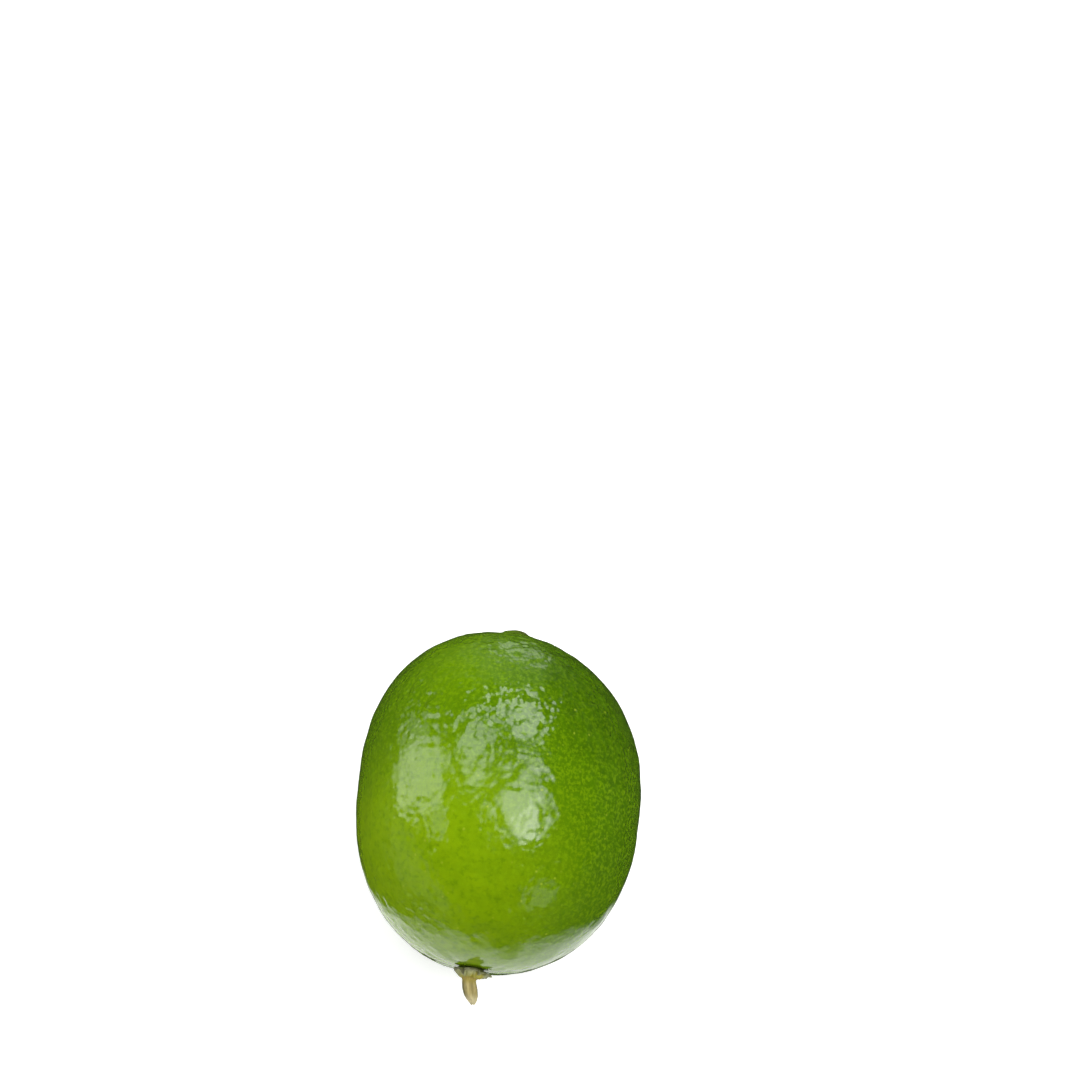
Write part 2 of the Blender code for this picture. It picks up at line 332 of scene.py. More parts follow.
CARD_FOOT = (0.030, 0.0358)  # half width and half length of the dark patch right under the fruit, a painted shadow that the rind mirrors
LEAST_FADE = 1e-6
# Where the card is paler: azimuth, spread, the radii between which it turns pale, brightness
CARD_HAZE = ((-60, 26, 0.14, 0.30, 0.26), (180, 20, 0.08, 0.15, 0.26))


def smooth_step(start, end, value):
    """Rises smoothly from 0 at start to 1 at end."""
    t = np.clip((value - start) / (end - start), 0.0, 1.0)
    return t * t * (3.0 - 2.0 * t)


def bell(value, middle, spread):
    return np.exp(-((value - middle) / spread) ** 2)


def unit(vectors):
    return vectors / np.linalg.norm(vectors, axis=-1, keepdims=True)


def wave_field(points, seed, lengths):
    """An uneven smooth field of about unit height: plane waves of mixed lengths in all directions."""
    draw = random.Random(seed)
    total = np.zeros(len(points))
    for _ in range(WAVES_IN_A_FIELD):
        heading = unit(np.array([draw.gauss(0, 1) for _ in range(3)]))
        turns = points @ heading / draw.uniform(*lengths)
        total += np.sin(2 * pi * (turns + draw.random()))
    return total / sqrt(WAVES_IN_A_FIELD / 2)


# The form of the fruit, in coordinates along and across the line between its poles

def lump_waves():
    """Draws the few broad waves that keep the fruit from being perfectly round."""
    draw = random.Random(LUMP_SEED)
    waves = []
    for _ in range(LUMP_COUNT):
        heading = Vector([draw.gauss(0, 1) for _ in range(3)]).normalized()
        waves.append((np.array(heading * draw.uniform(*LUMP_FREQUENCIES)), draw.uniform(0, 2 * pi)))
    return waves


LUMP_WAVES = lump_waves()


def centre_shift(along):
    return SIDE_BULGE * (1.0 - along * along) - END_SHEAR * along


def end_width(along):
    return 1.0 + BLOSSOM_FULLNESS * along


def blossom_relief(distance):
    """Height of the nipple and of the groove round it, along the axis."""
    cone = 0.5 + 0.5 * np.cos(pi * np.minimum(distance / NIPPLE_RADIUS, 1.0))
    groove = NIPPLE_GROOVE_DEPTH * bell(distance, NIPPLE_RADIUS, NIPPLE_GROOVE_WIDTH)
    return NIPPLE_HEIGHT * cone ** NIPPLE_BLUNTNESS - groove


def stem_relief(x, z):
    """Depth of the dimple under the button and of the furrows that leave it, along the axis."""
    distance = np.hypot(x - CALYX_CENTRE_X, z)
    angle = np.arctan2(z, x - CALYX_CENTRE_X)
    furrow = (0.5 + 0.5 * np.cos(FURROW_COUNT * angle + np.sin(2 * angle))) ** FURROW_NARROWNESS
    dimple = DIMPLE_DEPTH * bell(distance, 0.0, DIMPLE_RADIUS)
    return dimple + FURROW_DEPTH * furrow * bell(distance, FURROW_MIDDLE, FURROW_SPREAD)


def in_place(points):
    """Moves points from the fruit's own axis to where the fruit lies."""
    return points + np.array(FRUIT_MIDDLE)


def rind_form(direction):
    """Points of the smooth rind for unit vectors whose Y runs along the axis of the fruit."""
    along = direction[:, 1]
    from_axis = np.maximum(1.0 - along * along, NEAR_POLE)
    fullness = np.sqrt((1.0 - np.abs(along) ** PROFILE_POWER) / from_axis)
    radius = BODY_RADIUS * fullness * end_width(along)
    points = np.column_stack((
        radius * direction[:, 0] + centre_shift(along),
        BODY_HALF_LENGTH * along,
        radius * direction[:, 2],
    ))
    angle = np.arctan2(direction[:, 2], direction[:, 0])
    lumps = sum(np.sin(direction @ wave + phase) for wave, phase in LUMP_WAVES)
    relief = from_axis * (LUMP_RELIEF * lumps + SEGMENT_RELIEF * np.cos(SEGMENT_COUNT * angle))
    points += relief[:, None] * direction

    x, z = points[:, 0], points[:, 2]
    points[:, 1] += stem_relief(x, z) * smooth_step(0.0, END_RELIEF_REACH, -along)
    points[:, 1] += blossom_relief(np.hypot(x, z)) * smooth_step(0.0, END_RELIEF_REACH, along)
    return points


def rind_normals(direction, points):
    """Outward normals of the smooth rind."""
    helper = np.where(np.abs(direction[:, 1:2]) < 0.9, (0.0, 1.0, 0.0), (1.0, 0.0, 0.0))
    first = unit(np.cross(helper, direction))
    second = np.cross(direction, first)
    step_one = rind_form(unit(direction + NORMAL_STEP * first)) - points
    step_two = rind_form(unit(direction + NORMAL_STEP * second)) - points
    return unit(np.cross(step_one, step_two))


def stem_end_height(x, z):
    """The rind's position along the axis at the stem end, over points across the axis."""
    along = -np.ones_like(x)
    for _ in range(SETTLING_STEPS):
        radius = np.hypot(x - centre_shift(along), z) / (BODY_RADIUS * end_width(along))
        along = -(1.0 - radius * radius) ** (1.0 / PROFILE_POWER)
    return BODY_HALF_LENGTH * along + stem_relief(x, z)


def dimple_bottom():
    """The rind's position along the axis under the middle of the button."""
    return stem_end_height(np.array([CALYX_CENTRE_X]), np.array([0.0]))[0]


# Meshes

def cube_sphere(cells):
    """Even directions all round and the quads between them: a gridded cube blown up to a ball."""
    steps = np.arange(cells + 1)
    first, second = np.meshgrid(steps, steps, indexing="ij")
    corners = np.arange((cells + 1) ** 2).reshape(cells + 1, cells + 1)
    sheets = []
    quads = []
    for axis in range(3):
        for side in (0, cells):
            index = corners + len(sheets) * corners.size
            ring = [index[:-1, :-1], index[1:, :-1], index[1:, 1:], index[:-1, 1:]]
            if side == 0:
                ring.reverse()
            sheet = np.empty((cells + 1, cells + 1, 3), dtype=int)
            sheet[..., axis] = side
            sheet[..., (axis + 1) % 3] = first
            sheet[..., (axis + 2) % 3] = second
            sheets.append(sheet.reshape(-1, 3))
            quads.append(np.stack(ring, axis=-1).reshape(-1, 4))
    lattice, shared = np.unique(np.concatenate(sheets), axis=0, return_inverse=True)
    directions = unit(np.tan((lattice / cells * 2 - 1) * pi / 4))
    return directions, shared.reshape(-1)[np.concatenate(quads)]


def new_piece(name, points, faces, material):
    mesh = bpy.data.meshes.new(name)
    mesh.from_pydata(points.tolist(), [], [list(face) for face in faces])
    mesh.materials.append(material)
    mesh.shade_smooth()
    piece = bpy.data.objects.new(name, mesh)
    bpy.context.scene.collection.objects.link(piece)
    return piece


def set_attribute(piece, name, values):
    """Stores one number for each vertex, for the material to read."""
    attribute = piece.data.attributes.new(name, "FLOAT", "POINT")
    attribute.data.foreach_set("value", np.asarray(values, dtype=np.float32))


def band_faces(around, rings):
    """Quads between rings of vertices that are numbered ring after ring."""
    faces = []
    for ring in range(rings - 1):
        for corner in range(around):
            next_corner = (corner + 1) % around
            low, high = ring * around, (ring + 1) * around
            faces.append((low + corner, high + corner, high + next_corner, low + next_corner))
    return faces


def closed_faces(around, rings):
    """The same, closed by a fan at each end round a vertex that follows those of the rings."""
    faces = band_faces(around, rings)
    first_end = rings * around
    last_ring = first_end - around
    for corner in range(around):
        next_corner = (corner + 1) % around
        faces.append((first_end, corner, next_corner))
        faces.append((first_end + 1, last_ring + next_corner, last_ring + corner))
    return faces


# Rind

def spread_glands():
    """Unit vectors toward the oil glands: random points that pushed each other apart."""
    draw = random.Random(GLAND_SEED)
    glands = [Vector([draw.gauss(0, 1) for _ in range(3)]).normalized() for _ in range(GLAND_COUNT)]
    spacing = sqrt(4 * pi / GLAND_COUNT)
    for _ in range(GLAND_RELAXING):
        tree = kdtree.KDTree(GLAND_COUNT)
        for index, gland in enumerate(glands):
            tree.insert(gland, index)
        tree.balance()
        moved = []
        for gland in glands:
            push = Vector((0, 0, 0))
            for neighbour, _, distance in tree.find_n(gland, GLAND_NEIGHBOURS)[1:]:
                push += (gland - neighbour) * (spacing / max(distance, spacing / 10) - GLAND_REST)
            moved.append((gland + push * GLAND_PUSH).normalized())
        glands = moved
    return np.array(glands)


def gland_knobs(points):
    """Height of the flat-topped knob over the nearest oil gland, and 1 on its top to 0 at its edge."""
    draw = random.Random(GLAND_SEED + 1)
    tree = kdtree.KDTree(GLAND_COUNT)
    for index, centre in enumerate(rind_form(spread_glands())):
        tree.insert(centre, index)
    tree.balance()
    heights = []
    for _ in range(GLAND_COUNT):
        sunken = draw.random() < SUNKEN_SHARE
        heights.append(-SUNKEN_DEPTH if sunken else draw.uniform(*KNOB_HEIGHT))
    nearest = [tree.find_n(point, 2) for point in points]
    index = np.array([first[1] for first, _ in nearest])
    from_edge = np.array([second[2] - first[2] for first, second in nearest])
    plateau = smooth_step(0.0, KNOB_EDGE, from_edge)
    return np.array(heights)[index] * plateau, plateau


def blossom_wrinkles(points):
    """Height of the uneven rings round the nipple, and of the small pit that the style left at its tip."""
    distance = np.hypot(points[:, 0], points[:, 2])
    angle = np.arctan2(points[:, 2], points[:, 0])
    unrolled = np.column_stack((
        WRINKLE_SPREAD * np.cos(angle),
        distance,
        WRINKLE_SPREAD * np.sin(angle),
    ))
    reach = smooth_step(*WRINKLE_START, distance) * (1.0 - smooth_step(*WRINKLE_END, distance))
    wrinkles = WRINKLE_RELIEF * wave_field(unrolled, WRINKLE_SEED, WRINKLE_LENGTHS) * reach
    scar = STYLE_SCAR_DEPTH * bell(distance, 0.0, STYLE_SCAR_RADIUS)
    return (wrinkles - scar) * (points[:, 1] > 0)


def skin_roughness(points):
    """How strong the fine relief is: least low on the flanks, most on a belt before the nipple."""
    along, height = points[:, 1], points[:, 2] + AXIS_Z
    upper = smooth_step(*UPPER_SIDE, height)
    roughness = LOW_ROUGHNESS + (1.0 - LOW_ROUGHNESS) * smooth_step(*FLANK_TOP, height)
    roughness += ROUGH_BELT_GAIN * bell(along, *ROUGH_BELT) * upper
    roughness += ROUGH_TIP_GAIN * smooth_step(*ROUGH_TIP, along) * upper
    stem_end_side = smooth_step(*STEM_END_SIDE, points[:, 0])
    return roughness + ROUGH_STEM_END_GAIN * bell(along, *ROUGH_STEM_END) * stem_end_side


def build_rind():
    directions, quads = cube_sphere(RIND_CELLS)
    points = rind_form(directions)
    normals = rind_normals(directions, points)
    knobs, plateau = gland_knobs(points)
    swells = SWELL_RELIEF * wave_field(points, SWELL_SEED, SWELL_LENGTHS)
    ripples = RIPPLE_RELIEF * wave_field(points, RIPPLE_SEED, RIPPLE_LENGTHS)
    wrinkles = blossom_wrinkles(points)
    relief = swells + (ripples + knobs) * skin_roughness(points) + wrinkles
    placed = in_place(points + relief[:, None] * normals)
    placed[:, 2] = np.maximum(placed[:, 2], 0.0)
    piece = new_piece("fruit_rind", placed, quads, rind_material())
    set_attribute(piece, "gland", plateau)
    set_attribute(piece, "wrinkle", wrinkles / WRINKLE_RELIEF)
    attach(piece, "root")
    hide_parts("fruit")


# Button

def calyx_rim(angle):
    """Radius of the button's outline, which has one rounded lobe for each sepal."""
    lobe = np.abs(np.cos(CALYX_LOBES * (angle - CALYX_TURN) / 2))
    lobe_length = CALYX_LOBE_RADIUS - CALYX_NOTCH_RADIUS
    return CALYX_NOTCH_RADIUS + lobe_length * lobe ** CALYX_LOBE_ROUNDNESS


def calyx_lift(angle):
    """How far the button's rim stands off the rind, from lobe to lobe."""
    lobe = ((angle - CALYX_TURN) / (2 * pi) % 1.0) * CALYX_LOBES
    first = lobe.astype(int)
    share = smooth_step(0.0, 1.0, lobe - first)
    lifts = np.array(CALYX_LOBE_LIFTS)
    return lifts[first % CALYX_LOBES] * (1 - share) + lifts[(first + 1) % CALYX_LOBES] * share


def calyx_sides(angle, reach):
    """Points on the button's outer side and underside, for angles and shares of the way to the rim."""
    across = np.column_stack((np.cos(angle), np.sin(angle), reach))
    crinkle = wave_field(across, CRINKLE_SEED, CRINKLE_LENGTHS)
    distance = calyx_rim(angle) * reach * (1.0 + CRINKLED_OUTLINE * crinkle * reach)
    x = CALYX_CENTRE_X + distance * np.cos(angle)
    z = distance * np.sin(angle)

    lobe_offset = np.abs(np.sin(CALYX_LOBES * (angle - CALYX_TURN) / 2)) * distance / CALYX_LOBES
    midrib = MIDRIB_HEIGHT * bell(lobe_offset, 0.0, MIDRIB_WIDTH) * smooth_step(*MIDRIB_START, reach)
    gap = -CALYX_ROOT_SINK + (CALYX_RIM_GAP + CALYX_ROOT_SINK) * smooth_step(*CALYX_LEAVES_RIND, reach)
    curl = CURL_HEIGHT * smooth_step(*CURL_START, reach) * (1.0 + CRINKLED_CURL * crinkle)
    underside = stem_end_height(x, z) - gap - calyx_lift(angle) * reach ** 2 - curl
    thickness = CALYX_MIDDLE_THICKNESS
    thickness += (CALYX_RIM_THICKNESS - CALYX_MIDDLE_THICKNESS) * smooth_step(*CALYX_THINS, reach)
    fibres = wave_field(np.column_stack((x, z, 0.0 * x)), SEPAL_FIBRE_SEED, SEPAL_FIBRE_LENGTHS)
    sepal_top = underside - thickness - midrib - SEPAL_FIBRE_RELIEF * fibres
    boss_top = dimple_bottom() - PIECE_GAP - BOSS_HEIGHT
    from_stem = np.hypot(x - STEM_ROOT_X, z) * (1.0 + CRINKLED_BOSS * crinkle)
    boss_share = 1.0 - smooth_step(BOSS_RADIUS, BOSS_FOOT_RADIUS, from_stem)
    outer = sepal_top + (boss_top - sepal_top) * boss_share

    return np.column_stack((x, outer, z)), np.column_stack((x, underside, z))


def build_calyx():
    angle, reach = np.meshgrid(
        np.arange(CALYX_AROUND) * 2 * pi / CALYX_AROUND,
        np.linspace(CALYX_FIRST_RING, 1.0, CALYX_RINGS), indexing="xy")
    sides = calyx_sides(angle.ravel(), reach.ravel())
    outer_rings, under_rings = [side.reshape(CALYX_RINGS, CALYX_AROUND, 3) for side in sides]

    # One skin: up the outer side from its middle, over the rim and back along the underside
    rim = (outer_rings[-1] + under_rings[-1]) / 2
    centre = np.array((CALYX_CENTRE_X, 0.0, 0.0))
    rim = rim + (rim - centre) * np.array((CALYX_RIM_OVERHANG, 0.0, CALYX_RIM_OVERHANG))
    skin = np.concatenate((outer_rings, rim[None], under_rings[::-1]))
    middles = [outer_rings[0].mean(axis=0), under_rings[0].mean(axis=0)]
    points = np.concatenate((skin.reshape(-1, 3), middles))
    faces = closed_faces(CALYX_AROUND, len(skin))
    piece = new_piece("calyx_button", in_place(points), faces, calyx_material())
    skin_reach = np.concatenate((reach, np.ones((1, CALYX_AROUND)), reach[::-1])).ravel()
    set_attribute(piece, "reach", np.concatenate((skin_reach, (0.0, 0.0))))
    # Marks the underside, where the material paints shade
    ring_side = np.repeat((0.0, 0.5, 1.0), (CALYX_RINGS, 1, CALYX_RINGS))
    underside_shade = np.repeat(ring_side, CALYX_AROUND)
    set_attribute(piece, "underside_shade", np.concatenate((underside_shade, (0.0, 1.0))))
    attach(piece, "root")
    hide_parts("calyx")


# Stub of stalk

def build_stem():
    root = dimple_bottom() - BOSS_HEIGHT - 2 * PIECE_GAP
    turn, step = np.meshgrid(
        -np.arange(STEM_AROUND) * 2 * pi / STEM_AROUND,
        np.linspace(-STEM_ROOT_SINK / STEM_LENGTH, 1.0, STEM_RINGS), indexing="xy")
    turn, step = turn.ravel(), step.ravel()
    profile = np.array(STEM_PROFILE)
    radius = np.interp(step, profile[:, 0], profile[:, 1])
    fade = smooth_step(0.0, STEM_RIDGE_FADE, 1.0 - step)
    ridge = -np.cos(STEM_RIDGES * turn + STEM_TWIST * step)
    radius = radius + STEM_RIDGE_RELIEF * ridge * fade
    unrolled = np.column_stack((np.cos(turn), np.sin(turn), STEM_GRAIN_STRETCH * step))
    radius += STEM_GRAIN_RELIEF * wave_field(unrolled, STEM_GRAIN_SEED, STEM_GRAIN_LENGTHS)
    radius += STEM_FLARE * (1.0 - smooth_step(*STEM_FLARE_END, step))
    lean = np.sign(step) * np.abs(step) ** STEM_BEND
    torn = TORN_END_RELIEF * wave_field(unrolled, TORN_END_SEED, TORN_END_LENGTHS)
    torn *= smooth_step(*TORN_END_START, step)
    points = np.column_stack((
        STEM_ROOT_X + STEM_LEAN_X * lean + radius * np.cos(turn),
        root - STEM_LENGTH * step + torn,
        STEM_LEAN_Z * step + radius * np.sin(turn),
    ))
    rings = points.reshape(STEM_RINGS, STEM_AROUND, 3)
    points = np.concatenate((points, [rings[0].mean(axis=0), rings[-1].mean(axis=0)]))
    faces = closed_faces(STEM_AROUND, STEM_RINGS)
    piece = new_piece("stem_stub", in_place(points), faces, stem_material())
    set_attribute(piece, "length", np.concatenate((step, (0.0, 1.0))))
    set_attribute(piece, "ridge", np.concatenate((ridge, (0.0, 0.0))))
    # Where the painted shade on the stalk's left and right sides falls
    painted_flank_shade = smooth_step(*FLANK_SHADE_START, np.abs(np.cos(turn)))
    set_attribute(piece, "painted_flank_shade", np.concatenate((painted_flank_shade, (0.0, 0.0))))
    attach(piece, "root")
    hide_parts("stem")


# Materials

class Finish:
    """A node material and short ways to add its nodes. Sizes of patterns are in metres."""

    def __init__(self, name):
        self.material = bpy.data.materials.new(name)
        self.material.use_nodes = True
        self.tree = self.material.node_tree
        self.shader = self.tree.nodes["Principled BSDF"]
        self.place = self.tree.nodes.new("ShaderNodeTexCoord").outputs["Object"]

    def put(self, socket, value):
        """Links a socket to another, or sets it to a number, vector or colour."""
        if isinstance(value, bpy.types.NodeSocket):
            self.tree.links.new(value, socket)
        elif isinstance(value, tuple) and socket.type == "RGBA":
            socket.default_value = (*value, 1.0)
        else:
            socket.default_value = value

    def attribute(self, name):
        node = self.tree.nodes.new("ShaderNodeAttribute")
        node.attribute_name = name
        return node.outputs["Fac"]

    def maths(self, operation, first, second=0.0):
        node = self.tree.nodes.new("ShaderNodeMath")
        node.operation = operation
        self.put(node.inputs[0], first)
        self.put(node.inputs[1], second)
        return node.outputs[0]

    def vector(self, operation, first, second):
        node = self.tree.nodes.new("ShaderNodeVectorMath")
        node.operation = operation
        self.put(node.inputs[0], first)
        self.put(node.inputs[1], second)
        return node

    def nearness(self, point, radius, softness):
        """1 inside a ball round a point, falling to 0 over the softness beyond its radius."""
        distance = self.vector("DISTANCE", self.place, point).outputs["Value"]
        return self.remap(distance, radius + softness, radius)

    def remap(self, value, start, end, low=0.0, high=1.0):
        """Turns the range from start to end into the range from low to high, smoothly."""
        node = self.tree.nodes.new("ShaderNodeMapRange")
        node.interpolation_type = "SMOOTHSTEP"
        for name, number in (("Value", value), ("From Min", start), ("From Max", end),
                             ("To Min", low), ("To Max", high)):
            self.put(node.inputs[name], number)
        return node.outputs["Result"]

    def noise(self, size, detail=2.0, vector=None, roughness=0.5):
        node = self.tree.nodes.new("ShaderNodeTexNoise")
        self.put(node.inputs["Vector"], vector or self.place)
        self.put(node.inputs["Scale"], 1.0 / size)
        self.put(node.inputs["Detail"], detail)
        self.put(node.inputs["Roughness"], roughness)
        return node.outputs["Fac"]

    def pattern(self, pattern, low=0.0, high=1.0):
        """A noise that turns from low to high over a span of its values."""
        size, span, detail, roughness = pattern
        return self.remap(self.noise(size, detail, roughness=roughness), *span, low, high)

    def specks(self, spacing):
        """Distance to the nearest of scattered points, as a share of their spacing."""
        node = self.tree.nodes.new("ShaderNodeTexVoronoi")
        self.put(node.inputs["Vector"], self.place)
        self.put(node.inputs["Scale"], 1.0 / spacing)
        return node.outputs["Distance"]

    def mix(self, share, first, second):
        node = self.tree.nodes.new("ShaderNodeMix")
        node.data_type = "RGBA"
        self.put(node.inputs[0], share)
        colours = [socket for socket in node.inputs if socket.type == "RGBA"]
        self.put(colours[0], first)
        self.put(colours[1], second)
        return next(socket for socket in node.outputs if socket.type == "RGBA")

    def stain(self, colour, where, stain):
        """Lays a stain over a colour where a value is above 0."""
        strength, stain_colour = stain
        return self.mix(self.maths("MULTIPLY", where, strength), colour, stain_colour)

    def bump(self, height, depth):
        node = self.tree.nodes.new("ShaderNodeBump")
        self.put(node.inputs["Height"], height)
        self.put(node.inputs["Distance"], depth)
        self.put(node.inputs["Strength"], 1.0)
        return node.outputs["Normal"]

    def set(self, **values):
        """Sets sockets of the shader, with underscores for the spaces in their names."""
        for name, value in values.items():
            self.put(self.shader.inputs[name.replace("_", " ")], value)


def rind_material():
    finish = Finish("lime_rind")

    # Broad drifts between dark green and yellow green
    green = finish.mix(finish.pattern(DRIFT), *RIND_GREENS)
    nearness = {}
    for name, (middle, radius, softness, *stain) in RIND_PATCHES.items():
        nearness[name] = finish.nearness(middle, radius, softness)
        green = finish.stain(green, nearness[name], stain)
    green = finish.stain(green, finish.pattern(BLOTCHES), RIND_BLOTCH)

    # Mottling, painted shade in the creases between the glands, and pale specks
    grain_strength = finish.remap(finish.nearness(*GRAINY_SIDE), 0.0, 1.0, *RIND_GRAIN_STRENGTH)
    # The pale grain is darker under the painted shade on the shoulder
    pale_grain = finish.mix(nearness["painted shade on shoulder"], RIND_GRAIN_PALE, RIND_GRAIN_PALE_IN_PAINTED_SHADE)
    colour = finish.stain(green, finish.pattern(PALE_GRAIN), (grain_strength, pale_grain))
    colour = finish.stain(colour, finish.pattern(DARK_GRAIN), (grain_strength, RIND_GRAIN_DARK))
    crease_shade = finish.maths("SUBTRACT", 1.0, finish.attribute("gland"))
    colour = finish.stain(colour, crease_shade, RIND_CREASE_SHADE)
    # Pale specks: partly lenticels of the rind, partly painted glints
    speck = finish.remap(finish.specks(SPECK_SPACING), *SPECK_EDGE)
    speck = finish.maths("MULTIPLY", speck, finish.pattern(SPECK_GROUPS))
    colour = finish.stain(colour, speck, RIND_SPECK_AND_GLINT)

    # Olive nipple with a brown tip, and painted shade in the hollows of its wrinkles
    colour = finish.stain(colour, finish.nearness(*NIPPLE), NIPPLE_OLIVE)
    wrinkle_shade = finish.remap(finish.attribute("wrinkle"), *WRINKLE_HOLLOW)
    colour = finish.stain(colour, wrinkle_shade, NIPPLE_WRINKLE_SHADE)
    tip = finish.nearness(*NIPPLE_TIP)
    colour = finish.stain(colour, tip, NIPPLE_BROWN)

    # Gloss and pores
    rough = finish.pattern(SHEEN, *RIND_ROUGHNESS)
    dull = finish.maths("MULTIPLY", finish.nearness(*DULL_PATCH), DULL_PATCH_ROUGHNESS)
    rough = finish.maths("ADD", rough, dull)
    rough = finish.maths("ADD", rough, finish.maths("MULTIPLY", tip, NIPPLE_TIP_ROUGHNESS))
    bumps = finish.maths("MULTIPLY", speck, SPECK_HEIGHT)
    pores = finish.maths("ADD", finish.noise(PORE_SIZE), bumps)
    finish.set(Base_Color=colour, Roughness=rough, Normal=finish.bump(pores, PORE_DEPTH))
    finish.set(IOR=1.40, Coat_Weight=0.10, Coat_Roughness=0.08)
    return finish.material


def calyx_material():
    finish = Finish("dried_sepals")
    reach = finish.attribute("reach")
    fibre = finish.noise(SEPAL_FIBRE_SIZE, detail=4.0)
    colour = finish.mix(finish.remap(fibre, *NOISE_RANGE), *SEPAL_COLOURS)
    colour = finish.stain(colour, finish.remap(reach, *COLLAR_EDGE), SEPAL_COLLAR)
    # Brown rim of the dried sepals, darkened further as painted shade of the gap under the rim
    patches = finish.pattern(RIM_PATCHES, *DARK_RIM_SHARE)
    dark_rim_and_shade = finish.maths("MULTIPLY", finish.remap(reach, *DARK_RIM_START), patches)
    colour = finish.stain(colour, dark_rim_and_shade, SEPAL_DARK_RIM_AND_SHADE)
    # Painted shade on the underside of the button
    colour = finish.mix(finish.attribute("underside_shade"), colour, SEPAL_UNDERSIDE_SHADE)
    rough = finish.remap(fibre, *NOISE_RANGE, *SEPAL_ROUGHNESS)
    finish.set(Base_Color=colour, Roughness=rough, Normal=finish.bump(fibre, SEPAL_FIBRE_DEPTH))
    return finish.material


def stem_material():
    finish = Finish("stalk_wood")
    length = finish.attribute("length")
    stretched = finish.vector("MULTIPLY", finish.place, (1.0, WOOD_GRAIN_STRETCH, 1.0))
    grain = finish.noise(WOOD_GRAIN_SIZE, detail=4.0, vector=stretched.outputs["Vector"])
    colour = finish.mix(finish.remap(grain, *NOISE_RANGE), *WOOD_COLOURS)
    # Painted shade in the grooves between the stalk's ridges
    groove = finish.remap(finish.attribute("ridge"), *GROOVE_START)
    colour = finish.stain(colour, groove, WOOD_GROOVE_SHADE)
    # Painted shade on the stalk's left and right sides, broken up by the grain
    uneven = finish.remap(grain, *FLANK_SHADE_GRAIN, *FLANK_SHADE_SHARE)
    patchy_flank_shade = finish.maths("MULTIPLY", finish.attribute("painted_flank_shade"), uneven)
    colour = finish.mix(patchy_flank_shade, colour, WOOD_FLANK_SHADE)
    colour = finish.stain(colour, finish.remap(length, *GREEN_ROOT_END), WOOD_GREEN_ROOT)
    colour = finish.stain(colour, finish.remap(length, *PALE_TIP_START), WOOD_PALE_TIP)
    rough = finish.remap(grain, *NOISE_RANGE, *WOOD_ROUGHNESS)
    finish.set(Base_Color=colour, Roughness=rough, Normal=finish.bump(grain, WOOD_GRAIN_DEPTH))
    return finish.material


# Stage, light and camera

def toward(azimuth, elevation):
    """Unit vector from the fruit toward a viewer or a light at these angles in degrees."""
    across = cos(radians(elevation))
    return Vector((
        sin(radians(azimuth)) * across,
        -cos(radians(azimuth)) * across,
        sin(radians(elevation)),
    ))


def build_floor():
    half = FLOOR_SIZE / 2
    points = np.array(((-half, -half, 0), (half, -half, 0), (half, half, 0), (-half, half, 0)))
    finish = Finish("pale_floor")
    finish.set(Base_Color=(FLOOR_GREY,) * 3, Roughness=0.9, Specular_IOR_Level=0.1)
    across = finish.vector("MULTIPLY", finish.place, (1.0, BODY_RADIUS / BODY_HALF_LENGTH, 1.0))
    from_contact = finish.vector("LENGTH", across.outputs["Vector"], (0.0, 0.0, 0.0)).outputs["Value"]
    glow = finish.remap(from_contact, *CONTACT_SHADE, 0.0, FLOOR_GLOW)
    finish.set(Emission_Color=(1.0, 1.0, 1.0), Emission_Strength=glow)
    finish.material.cycles.emission_sampling = "NONE"
    floor = new_piece("floor", points, [(0, 1, 2, 3)], finish.material)


def card_haze(azimuth, radius):
    """The faint light that the pale parts of the card send out."""
    glow = 0.0
    for middle, spread, start, end, brightness in CARD_HAZE:
        turn = (azimuth - middle + 180) % 360 - 180
        glow += brightness * bell(turn, 0.0, spread) * smooth_step(start, end, radius)
    return glow


def in_card_window(azimuth, radius):
    azimuths, radii = CARD_WINDOW
    return azimuths[0] < azimuth % 360 < azimuths[1] and radii[0] < radius < radii[1]


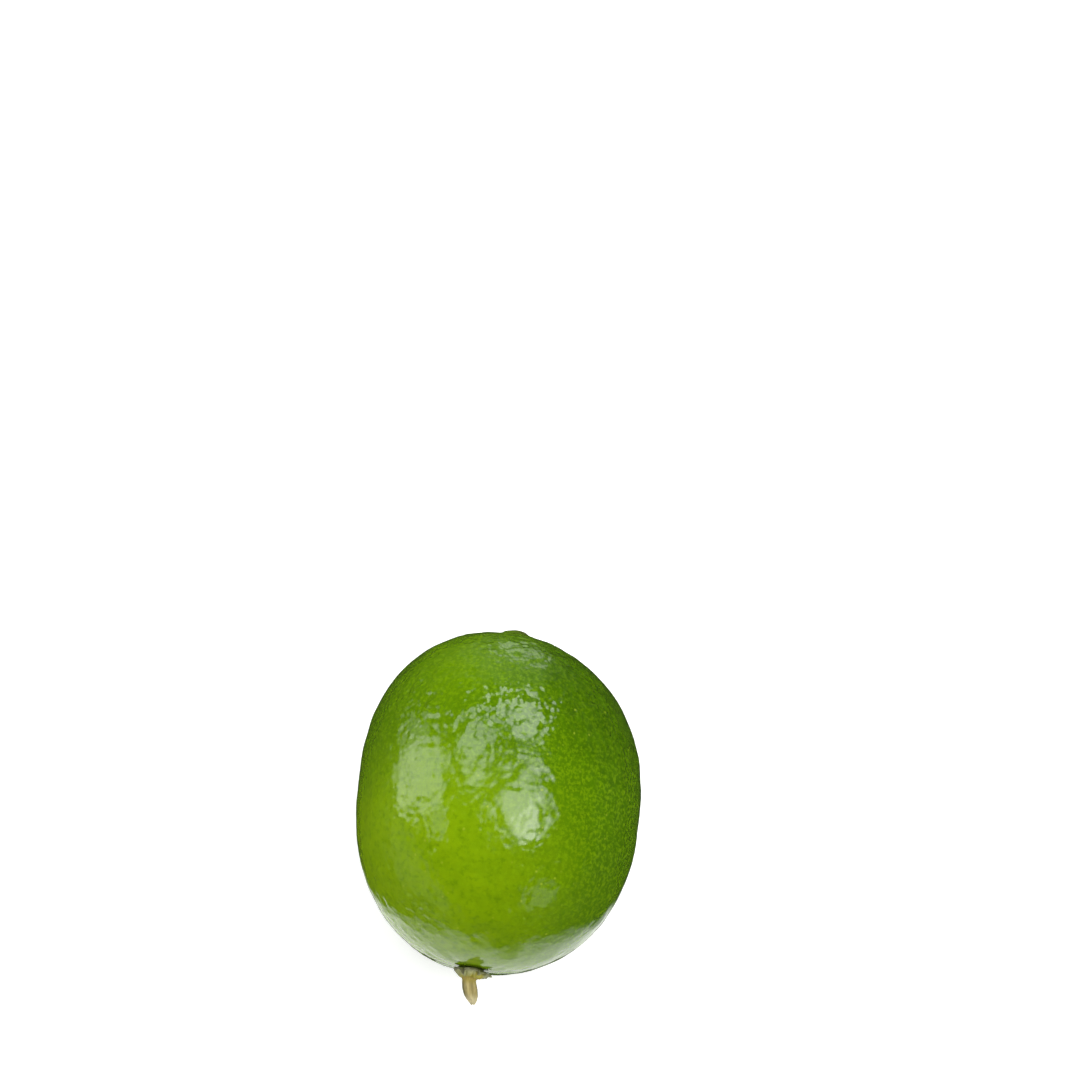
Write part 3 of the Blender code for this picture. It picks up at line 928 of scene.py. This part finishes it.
def build_card():
    """Shown to mirror reflections only, so it casts no shadow and the camera doesn't see it."""
    azimuths = np.linspace(-180, 180, CARD_AROUND, endpoint=False)
    edge = np.array(CARD_EDGE)
    inner = np.interp(azimuths, edge[:, 0], edge[:, 1])
    fade_end = inner * np.interp(azimuths, edge[:, 0], edge[:, 2])
    edge_glow = CARD_EDGE_GLOW * smooth_step(*CARD_EDGE_GLOW_END, np.abs(azimuths))
    points = []
    radii = []
    glow = []
    for ring in range(CARD_RINGS):
        share = ring / (CARD_RINGS - 1)
        radii.append(inner ** (1 - share) * CARD_OUTER ** share)
        fading = edge_glow * smooth_step(fade_end + LEAST_FADE, inner, radii[-1])
        for azimuth, radius, brightness in zip(azimuths, radii[-1], fading):
            points.append(toward(azimuth, 0.0) * radius + Vector((0, 0, CARD_LIFT)))
            glow.append(max(brightness, card_haze(azimuth, radius)))
    faces = []
    for index, face in enumerate(band_faces(CARD_AROUND, CARD_RINGS)):
        ring, corner = divmod(index, CARD_AROUND)
        if not in_card_window(azimuths[corner], radii[ring][corner]):
            faces.append(face)
    first_of_foot = len(points)
    for azimuth in azimuths:
        outward = toward(azimuth, 0.0)
        points.append(Vector((outward.x * CARD_FOOT[0], outward.y * CARD_FOOT[1], CARD_LIFT / 2)))
        glow.append(0.0)
    faces.append(tuple(range(first_of_foot, first_of_foot + CARD_AROUND)))
    finish = Finish("black_card")
    finish.set(Base_Color=(CARD_GREY,) * 3, Roughness=0.9, Specular_IOR_Level=0.0)
    finish.set(Emission_Color=(1.0, 1.0, 1.0), Emission_Strength=finish.attribute("glow"))
    finish.material.cycles.emission_sampling = "NONE"
    card = new_piece("black_card", np.array(points), faces, finish.material)
    set_attribute(card, "glow", glow)
    card.visible_camera = False
    card.visible_diffuse = False
    card.visible_transmission = False
    card.visible_shadow = False


def build_lights():
    for name, (azimuth, elevation, width, height, roll, radiance) in SOFT_BOXES.items():
        back = toward(azimuth, elevation)
        facing = back.to_track_quat("Z", "Y").to_matrix() @ Matrix.Rotation(radians(roll), 3, "Z")
        for layer_size, layer_share, way_back in SOFT_EDGE:
            light = bpy.data.lights.new(name, "AREA")
            light.shape = "ELLIPSE"
            light.size = 2 * LIGHT_DISTANCE * tan(radians(width / 2)) * layer_size
            light.size_y = 2 * LIGHT_DISTANCE * tan(radians(height / 2)) * layer_size
            light.energy = radiance * layer_share * light.size * light.size_y * WATTS_PER_RADIANCE
            lamp = bpy.data.objects.new(name, light)
            place = Vector(FRUIT_MIDDLE) + back * (LIGHT_DISTANCE + way_back)
            lamp.matrix_world = Matrix.Translation(place) @ facing.to_4x4()
            lamp.visible_camera = False
            bpy.context.scene.collection.objects.link(lamp)


def build_world():
    """A pale backdrop for the camera, and a dim surround for everything that mirrors it."""
    world = bpy.data.worlds.new("studio")
    world.use_nodes = True
    tree = world.node_tree
    background = tree.nodes["Background"]
    path = tree.nodes.new("ShaderNodeLightPath")
    shade = tree.nodes.new("ShaderNodeMapRange")
    shade.inputs["To Min"].default_value = SURROUND_BRIGHTNESS
    shade.inputs["To Max"].default_value = 1.0
    tree.links.new(path.outputs["Is Camera Ray"], shade.inputs["Value"])
    tree.links.new(shade.outputs["Result"], background.inputs["Strength"])
    background.inputs["Color"].default_value = (1.0, 1.0, 1.0, 1.0)
    bpy.context.scene.world = world
    bpy.context.scene.view_settings.view_transform = "Standard"


def build_camera():
    camera = bpy.data.cameras.new("photograph_view")
    camera.sensor_width = SENSOR_WIDTH
    camera.lens = SENSOR_WIDTH * CAMERA_DISTANCE / FRAME_WIDTH
    camera.clip_end = CAMERA_REACH
    back = toward(CAMERA_AZIMUTH, CAMERA_ELEVATION)
    right = Vector((cos(radians(CAMERA_AZIMUTH)), sin(radians(CAMERA_AZIMUTH)), 0.0))
    facing = Matrix((right, back.cross(right), back)).transposed()
    pixel = SENSOR_WIDTH / PICTURE_SIZE
    across = (AXIS_PIXEL[0] - PICTURE_SIZE / 2) * pixel
    down = (AXIS_PIXEL[1] - PICTURE_SIZE / 2) * pixel
    sight = Vector((across, -down, -camera.lens)).normalized()
    turn = sight.rotation_difference(Vector((0.0, 0.0, -1.0))).to_matrix()
    viewer = bpy.data.objects.new("photograph_view", camera)
    place = Vector(FRUIT_MIDDLE) + back * CAMERA_DISTANCE
    viewer.matrix_world = Matrix.Translation(place) @ (facing @ turn).to_4x4()
    bpy.context.scene.collection.objects.link(viewer)
    bpy.context.scene.camera = viewer


build_camera()
build_rind()
build_calyx()
build_stem()
build_floor()
build_card()
build_lights()
build_world()
